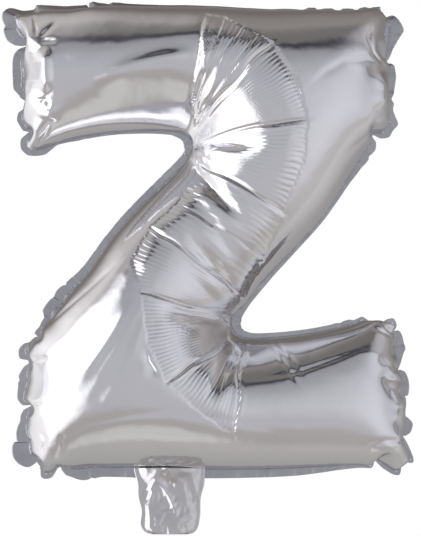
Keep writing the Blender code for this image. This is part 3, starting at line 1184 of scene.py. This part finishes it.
SILVER_FILM = FoilFinish("silver_film", (0.86, 0.86, 0.88), (0.74, 0.74, 0.77), (0.07, 0.14),
                         46.0, 0.5, 240.0, 0.22)
WELD_FILM = FoilFinish("weld_film", (0.66, 0.66, 0.69), (0.36, 0.36, 0.39), (0.20, 0.32),
                       180.0, 0.8, 600.0, 0.4)
NECK_FILM = FoilFinish("neck_film", (0.78, 0.78, 0.79), (0.58, 0.57, 0.58), (0.08, 0.18),
                       150.0, 0.9, 420.0, 0.3)


@dataclass(frozen=True)
class ValveFinish:
    """Clear plain film of the valve, with faint streaks."""

    name: str = "valve_film_clear"
    colour: tuple[float, float, float] = (0.80, 0.82, 0.84)

    def build(self, crinkle: bpy.types.NodeTree) -> bpy.types.Material:
        """Make the material from the crinkle node group."""
        tones, rough, bump = (0.0, 1.0), (0.18, 0.4), (0.3, 0.5 * MM)
        mat, bench, shader, _ = crinkled_film(self.name, crinkle, tones, rough, bump)
        bench.put(shader, Alpha=0.55, IOR=1.5)
        shader.inputs["Base Color"].default_value = (*self.colour, 1.0)
        return mat


# Pieces


def dress(piece: bpy.types.Object, material: bpy.types.Material, node: str) -> None:
    """Give a piece its finish and its body, and hide the node that it stands for."""
    piece.data.materials.clear()
    piece.data.materials.append(material)
    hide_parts(node)
    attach(piece, "root")
    LOG.info("%s: %d faces", piece.name, len(piece.data.polygons))


def thicken(piece: bpy.types.Object, thickness: float, offset: float) -> None:
    """Give a sheet the thickness of film, in millimetres, to the side that offset says."""
    film = piece.modifiers.new("Film", "SOLIDIFY")
    film.thickness = thickness * MM
    film.offset = offset


@dataclass(frozen=True)
class Tug:
    """Small pull on the filled film: its place, the pull in x and z, and its reach."""

    x: float
    z: float
    dx: float
    dz: float
    reach: float


TUGS: tuple[Tug, ...] = (
    Tug(-84, 169, 0, 5, 34),
    Tug(91, 169, 0, 4.6, 36),
    Tug(122, 168, 0, 3, 16),
    Tug(-144, 123, 6, 0, 15),
    Tug(-136, -76, 4, 0, 8),
    Tug(-136, -102, 3.5, 0, 12),
    Tug(-90, -20, 1.6, -1.2, 22),
    Tug(-121, 167, 0, 3, 16),
    Tug(84, 22, 2.7, -2.4, 40),
)

# Width of the weld at places round the seam: x, z and width, clockwise from the upper left
WELD_WIDTHS: tuple[tuple[float, float, float], ...] = (
    (-141, 164, 10), (-142, 155, 11), (-135, 149, 6), (-130, 147, 1), (-137, 137, 6),
    (-141, 124, 7), (-136, 109, 5.5), (-132, 103, 1), (-138, 92, 4), (-133, 83, 3),
    (-136, 74, 5), (-129, 68, 4.5), (-120, 69, 5), (-113, 73, 1.2), (-98, 75, 2.2),
    (-65, 78, 1.8), (-28, 81, 2.5), (-15, 79, 5.5), (-12, 70, 7), (-22, 57, 5.5), (-49, 28, 5),
    (-74, 1, 4.6), (-88, -17, 5), (-101, -33, 6.5), (-109, -43, 8.4), (-116, -53, 7.5),
    (-124, -62, 1.5), (-127, -68, 5), (-130, -74, 1), (-135, -82, 6), (-132, -90, 1),
    (-134, -98, 6.5), (-134, -109, 6.5), (-128, -119, 1), (-131, -125, 4), (-132, -137, 6),
    (-130, -147, 12), (-127, -153, 14), (-122, -157, 1), (-119, -165, 6), (-111, -165, 1),
    (-103, -165, 5.5), (-93, -165, 9), (-71, -165, 7), (-53, -165, 8), (-2, -166, 7),
    (31, -165, 6.5), (67, -165, 6), (103, -163, 3), (119, -158, 1), (129, -166, 3),
    (140, -163, 3), (146, -157, 2), (145, -147, 1), (143, -136, 6.5), (140, -125, 1.5),
    (138, -113, 8), (137, -101, 7), (137, -90, 2), (138, -80, 7), (135, -68, 1),
    (132, -63, 4.5), (120, -63, 1), (104, -59, 3.5), (67, -67, 3.5), (31, -71, 3.5),
    (19, -65, 6.5), (18, -57, 7.5), (29, -42, 4.6), (45, -26, 3), (67, 1, 2), (89, 28, 2),
    (102, 45, 3), (114, 63, 5), (120, 72, 5), (122, 80, 1.5), (133, 84, 6.5),
    (135, 92, 5), (134, 99, 2), (133, 111, 5.5), (132, 123, 5), (130, 131, 1.2), (134, 143, 4),
    (134, 150, 7), (134, 159, 11), (131, 166, 3), (126, 169, 2), (122, 169, 4),
)


@dataclass
class FoilLetter:
    """The two filled films and the weld round them.

    Args:
        cut: the flat cut.
        stages: stages of the filling.
        fold_back: angle by which the weld along the top is bent back, in degrees.
        top_from: height over which the weld counts as the top's.
    """

    cut: FlatCut = field(default_factory=lambda: FlatCut(LETTER_CUT))
    stages: tuple[FillStage, ...] = (
        FillStage(5.0, 420, 3e-3, 8e-4, 0.03, 0.05),
        FillStage(5.0, 480, 8e-4, 8e-4, 0.03, 0.05, 0.98),
        FillStage(3.4, 400, 8e-4, 8e-4, 0.06, 0.10),
    )
    fold_back: float = 58.0
    top_from: float = 120.0

    def build(self) -> dict[str, bpy.types.Object]:
        """Fill the letter and make its three pieces.

        Returns:
            The pieces by name.
        """
        net, shape = Filling(self.cut, self.stages, PINCHES).run()
        for tug in TUGS:
            gap = np.hypot(shape[:, 0] - tug.x, shape[:, 2] - tug.z)
            share = np.exp(-((gap / tug.reach) ** 2))[:, None]
            shape = shape + np.array((tug.dx, 0.0, tug.dz)) * share
        relief = FilmRelief(self.cut)
        films = ((Side.FRONT, net.front, "front_film"), (Side.BACK, net.back, "back_film"))
        pieces = {name: self._film(name, side, relief, *compact(np.hstack([shape, net.flat]), tris))
                  for side, tris, name in films}
        pieces["weld_edge"] = self._weld(shape[:net.seam_count])
        return pieces

    @staticmethod
    def _film(name: str, side: Side, relief: FilmRelief, rows: Array, faces: Array
              ) -> bpy.types.Object:
        """One film, made finer and dressed with its relief.

        Args:
            name: the piece's name.
            side: which film.
            relief: what it shows on top of its bulge.
            rows: filled and flat place of each point.
            faces: triangle rows.
        Returns:
            The piece.
        """
        rows[:, :3] = settle(rows[:, :3], faces)
        rows, faces = loop_refine(rows, faces)
        if side is Side.FRONT:
            centre = rows[faces].mean(1)
            rows, faces = split_zone(rows, faces, relief.fine_zone(centre[:, :3], centre[:, 3:]))
        points = rows[:, :3]
        lift = relief.height(points, rows[:, 3:], side)
        points = points + point_normals(points, faces) * lift[:, None]
        return make_mesh(name, points * MM, faces)

    def _weld(self, seam: Array) -> bpy.types.Object:
        """Weld outside the seam: petals between the pinches, bent back along the top.

        Args:
            seam: filled points of the seam.
        Returns:
            The piece.
        """
        step, lead, ripple, top_soft, thickness = 0.9, 4, 0.09, 15.0, 0.18
        waves = (Noise(1.0, 17.0, 3.0), Noise(0.6, 7.0, 8.0))
        arc = lengths_along(seam)
        length = arc[-1] + np.linalg.norm(seam[0] - seam[-1])
        knots = []
        for x, z, wide in WELD_WIDTHS:
            near = int(np.argmin(np.hypot(seam[:, 0] - x, seam[:, 2] - z)))
            knots.append((arc[near], wide))
        knots.sort()
        fine = np.arange(0.0, length, step)
        width = np.interp(fine, [k[0] for k in knots], [k[1] for k in knots], period=length)
        width = (np.roll(width, 1) + 2 * width + np.roll(width, -1)) / 4
        line = columns(*(np.interp(fine, arc, part, period=length) for part in seam.T))
        way = unit(np.roll(line, -lead, 0) - np.roll(line, lead, 0))
        out = columns(way[:, 2], np.zeros(len(way)), -way[:, 0])
        area = np.sum(line[:, 0] * np.roll(line[:, 2], -1) - np.roll(line[:, 0], -1) * line[:, 2])
        out = unit(out * np.sign(area))
        on_top = smooth(self.top_from - top_soft, self.top_from, line[:, 2])
        up = np.clip(out[:, 2], 0, 1) ** 4 * on_top
        angle = np.radians(self.fold_back) * up
        arm = out * np.cos(angle)[:, None]
        arm[:, 1] += np.sin(angle)
        bend = ripple * width * sum(wave.at(fine) for wave in waves) * (1 - up)
        rows = []
        for share in (0.0, 0.3, 0.6, 0.85, 1.0):
            point = line + arm * (width * share)[:, None]
            point[:, 1] += bend * share
            rows.append(point)
        count = len(fine)
        i = np.arange(count)
        j = (i + 1) % count
        faces = []
        for base in range(0, (len(rows) - 1) * count, count):
            a, b = base + i, base + j
            faces += [columns(a, b, b + count), columns(a, b + count, a + count)]
        points, tris = loop_refine(np.vstack(rows), np.vstack(faces))
        ob = make_mesh("weld_edge", points * MM, tris)
        thicken(ob, thickness, 0)
        return ob


@dataclass
class FillingNeck:
    """The two films of the filling neck under the bottom bar.

    Args:
        middle: x of its middle line.
        top: z of its root, hidden behind the bottom bar.
        low: z of its mouth.
        half_top: half width at the root.
        half_low: half width at the mouth.
        corner: radius of the corners at the mouth.
        depth: how far the air holds one film off the other.
        across: points across a film.
        down: points down a film.
    """

    middle: float = -27.5
    top: float = -166.0
    low: float = -214.0
    half_top: float = 26.0
    half_low: float = 21.5
    corner: float = 9.0
    depth: float = 3.4
    across: int = 56
    down: int = 60

    def half(self, z: Array) -> Array:
        """Half width at each height, with rounded lower corners."""
        share = (self.top - z) / (self.top - self.low)
        plain = self.half_top + (self.half_low - self.half_top) * np.minimum(share * 1.6, 1.0)
        near = np.clip(self.corner - (z - self.low), 0, self.corner)
        return plain - (self.corner - np.sqrt(self.corner ** 2 - near ** 2))

    def film(self, side: Side, name: str) -> bpy.types.Object:
        """One film of the neck, crinkled.

        Args:
            side: front or back.
            name: the piece's name.
        Returns:
            The piece.
        """
        apart, least, root_puff, root_reach, thickness = 0.25, 0.12, 5.0, 0.16, 0.15
        open_share, large_height, small_height = 0.86, 1.4, 0.45
        seed = 11.0 if side is Side.FRONT else 17.0
        large, small = Noise(1.0, 19.0, seed), Noise(1.0, 10.0, seed + 3)
        u, v = np.meshgrid(np.linspace(-1, 1, self.across), np.linspace(0, 1, self.down))
        u, v = u.ravel(), v.ravel()
        z = self.top + (self.low - self.top) * v
        x = self.middle + u * self.half(z) + 0.5 * np.sin(z * 0.31) * np.abs(u)
        puff = np.clip(1 - (np.abs(u) / open_share) ** 2, 0, 1) ** 0.8
        root = np.exp(-(v / root_reach) ** 2)
        y = apart + self.depth * puff * (0.55 + 0.45 * v) + root_puff * root * puff
        ridge = 0.5 - np.abs(large.at(x + 0.25 * z, 0.35 * z))
        wrinkle = 0.5 - np.abs(small.at(x - 0.3 * z, 0.6 * z))
        free = 0.25 + 0.75 * smooth(0, 0.25, 0.9 - np.abs(u))
        y = np.maximum(y + (large_height * ridge + small_height * wrinkle) * free, least)
        n = self.across
        base = (np.arange(self.down - 1)[:, None] * n + np.arange(n - 1)).ravel()
        faces = columns(base, base + n, base + n + 1, base + 1)
        if side is Side.BACK:
            faces = faces[:, ::-1]
        ob = make_mesh(name, columns(x, side.value * y, z) * MM, faces)
        thicken(ob, thickness, -1)
        return ob


# Studio


@dataclass(frozen=True)
class Lamp:
    """Soft box: name, place, size and power; it looks at the balloon."""

    name: str
    place: tuple[float, float, float]
    size: float
    power: float


@dataclass(frozen=True)
class Glow:
    """Soft patch of light in the room: direction, half angles of its core and rim, strength."""

    toward: tuple[float, float, float]
    core: float
    rim: float
    colour: tuple[float, float, float]


@dataclass
class Studio:
    """Pale floor, soft boxes, surrounding light and the camera.

    room lists the light of the room by the angle over the camera's level, in degrees: 0 is
    towards the camera, 90 straight up, 180 behind the balloon and -90 straight down.
    look_up is the camera's tilt in degrees, and centre the x and z that it looks at.
    """

    lamps: tuple[Lamp, ...] = (
        Lamp("box_left", (-1.5, -1.2, 0.6), 1.2, 22.0),
        Lamp("box_right", (1.4, -1.4, 1.4), 1.2, 18.0),
        Lamp("box_behind", (0.4, 2.0, 1.6), 1.6, 24.0),
    )
    room: tuple[tuple[float, tuple[float, float, float]], ...] = (
        (-180, (0.34, 0.33, 0.32)), (-120, (0.46, 0.44, 0.43)), (-84, (0.52, 0.50, 0.48)),
        (-70, (0.45, 0.43, 0.41)), (-48, (0.47, 0.445, 0.43)), (-36, (0.55, 0.54, 0.56)),
        (0, (0.54, 0.54, 0.57)), (30, (0.46, 0.46, 0.49)), (48, (0.34, 0.34, 0.36)),
        (53, (0.07, 0.07, 0.08)), (56, (0.05, 0.05, 0.06)), (61, (0.19, 0.18, 0.175)),
        (72, (0.20, 0.19, 0.18)), (84, (0.31, 0.285, 0.27)), (104, (0.27, 0.245, 0.23)),
        (128, (0.18, 0.165, 0.155)), (150, (0.22, 0.20, 0.185)), (180, (0.34, 0.33, 0.32)),
    )
    glows: tuple[Glow, ...] = (
        Glow((-0.79, -0.52, 0.32), 15.0, 25.0, (1.2, 1.2, 1.22)),
        Glow((-0.80, -0.50, -0.33), 13.0, 27.0, (0.9, 0.9, 0.92)),
        Glow((-0.10, -0.35, -0.93), 6.0, 16.0, (0.20, 0.20, 0.20)),
        Glow((0.75, -0.30, 0.58), 6.0, 22.0, (0.20, 0.20, 0.21)),
        Glow((0.98, -0.20, 0.05), 24.0, 58.0, (0.13, 0.13, 0.14)),
        Glow((0.62, -0.78, 0.10), 12.0, 38.0, (0.11, 0.11, 0.11)),
        Glow((-0.65, 0.05, 0.75), 20.0, 45.0, (0.28, 0.27, 0.27)),
        Glow((-1.0, 0.1, 0.0), 25.0, 50.0, (0.60, 0.60, 0.61)),
    )
    floor_drop: float = 0.62
    lens: float = 146.3
    distance: float = 1.6
    look_up: float = 6.0
    centre: tuple[float, float] = (0.0018, -0.0198)

    def build(self) -> None:
        """Make the camera, the floor, the lamps and the surrounding light."""
        self._camera()
        self._floor()
        for lamp in self.lamps:
            self._lamp(lamp)
        self._world()

    def _camera(self) -> None:
        """Camera in front of the letter, a little under its middle."""
        data = bpy.data.cameras.new("camera")
        data.lens = self.lens
        data.sensor_width = 36.0
        data.sensor_fit = "AUTO"
        ob = place_object("camera", data)
        aim = Vector((self.centre[0], 0.0, self.centre[1]))
        tilt = math.radians(self.look_up)
        ob.location = aim + Vector((0, -math.cos(tilt), -math.sin(tilt))) * self.distance
        ob.rotation_euler = (aim - ob.location).to_track_quat("-Z", "Y").to_euler()
        bpy.context.scene.camera = ob
        bpy.context.scene.view_settings.view_transform = "Standard"

    def _floor(self) -> None:
        """Plain pale floor well under the floating letter."""
        half, z = 6.0, -self.floor_drop
        points = np.array([(-half, -half, z), (half, -half, z), (half, half, z), (-half, half, z)])
        ob = make_mesh("floor", points, np.array([(0, 1, 2, 3)]))
        mat = bpy.data.materials.new("pale_floor")
        mat.use_nodes = True
        bench = NodeBench(mat.node_tree)
        shader = mat.node_tree.nodes["Principled BSDF"]
        bench.put(shader, Roughness=0.8)
        shader.inputs["Base Color"].default_value = (0.86, 0.86, 0.86, 1.0)
        ob.data.materials.append(mat)
        ob.visible_glossy = False

    def _lamp(self, lamp: Lamp) -> None:
        """One square soft box, left out of the mirror images in the film."""
        data = bpy.data.lights.new(lamp.name, "AREA")
        data.size = lamp.size
        data.energy = lamp.power
        ob = place_object(lamp.name, data)
        ob.location = lamp.place
        ob.rotation_euler = (-Vector(lamp.place)).to_track_quat("-Z", "Y").to_euler()
        ob.visible_glossy = False

    def _world(self) -> None:
        """Room light that the film mirrors; plain white where the camera looks past it."""
        world = bpy.data.worlds.new("studio_room")
        bpy.context.scene.world = world
        world.use_nodes = True
        tree = world.node_tree
        tree.nodes.clear()
        bench = NodeBench(tree)
        where = bench.add("ShaderNodeTexCoord").outputs["Generated"]
        split = bench.add("ShaderNodeSeparateXYZ")
        bench.join(where, split.inputs[0])
        front = bench.math("MULTIPLY", split.outputs["Y"], -1.0)
        angle = bench.math("ARCTAN2", split.outputs["Z"], front)
        level = bench.put(bench.add("ShaderNodeMapRange"), From_Min=-math.pi, From_Max=math.pi)
        bench.join(angle, level.inputs["Value"])
        ramp = bench.add("ShaderNodeValToRGB")
        bench.join(level.outputs["Result"], ramp.inputs["Fac"])
        marks = ramp.color_ramp.elements
        marks[0].position, marks[0].color = 0.0, (*self.room[0][1], 1.0)
        marks[1].position, marks[1].color = 1.0, (*self.room[-1][1], 1.0)
        for place, colour in self.room[1:-1]:
            marks.new((place + 180) / 360).color = (*colour, 1.0)
        light = ramp.outputs["Color"]
        for glow in self.glows:
            light = self._add_glow(bench, where, light, glow)
        seen = bench.add("ShaderNodeLightPath").outputs["Is Camera Ray"]
        pick = bench.add("ShaderNodeMix", data_type="RGBA")
        bench.join(seen, pick.inputs["Factor"])
        bench.join(light, pick.inputs["A"])
        pick.inputs["B"].default_value = (1.0, 1.0, 1.0, 1.0)
        shine = bench.add("ShaderNodeBackground")
        bench.join(pick.outputs["Result"], shine.inputs["Color"])
        end = bench.add("ShaderNodeOutputWorld")
        bench.join(shine.outputs[0], end.inputs["Surface"])

    def _add_glow(self, bench: NodeBench, where: bpy.types.NodeSocket,
                  light: bpy.types.NodeSocket, glow: Glow) -> bpy.types.NodeSocket:
        """Add one soft patch of light to the room.

        Args:
            bench: the world's nodes.
            where: direction socket.
            light: colour so far.
            glow: the patch.
        Returns:
            The colour with the patch.
        """
        dot = bench.add("ShaderNodeVectorMath", operation="DOT_PRODUCT")
        dot.inputs[1].default_value = Vector(glow.toward).normalized()
        bench.join(where, dot.inputs[0])
        share = bench.add("ShaderNodeMapRange", interpolation_type="SMOOTHSTEP")
        bench.put(share, From_Min=math.cos(math.radians(glow.rim)),
                  From_Max=math.cos(math.radians(glow.core)))
        bench.join(dot.outputs["Value"], share.inputs["Value"])
        add = bench.add("ShaderNodeMix", data_type="RGBA", blend_type="ADD")
        bench.join(share.outputs["Result"], add.inputs["Factor"])
        bench.join(light, add.inputs["A"])
        add.inputs["B"].default_value = (*glow.colour, 1.0)
        return add.outputs["Result"]


# The whole balloon


def main() -> None:
    """Build the studio and dress the balloon."""
    logging.basicConfig(level=logging.INFO, format="%(name)s %(message)s")
    Studio().build()
    crinkle = crinkle_group()
    silver, welded, necked = (f.build(crinkle) for f in (SILVER_FILM, WELD_FILM, NECK_FILM))
    letter = FoilLetter().build()
    dress(letter["front_film"], silver, "front_foil_panel")
    dress(letter["back_film"], silver, "back_foil_panel")
    dress(letter["weld_edge"], welded, "edge_weld_flange")
    neck = FillingNeck()
    dress(neck.film(Side.FRONT, "neck_film_front"), necked, "neck_front_film")
    dress(neck.film(Side.BACK, "neck_film_back"), necked, "neck_back_film")
    valve = ValveFinish().build(crinkle)
    bpy.data.objects["valve_film"].material_slots[0].material = valve


if __name__ == "__main__":
    main()
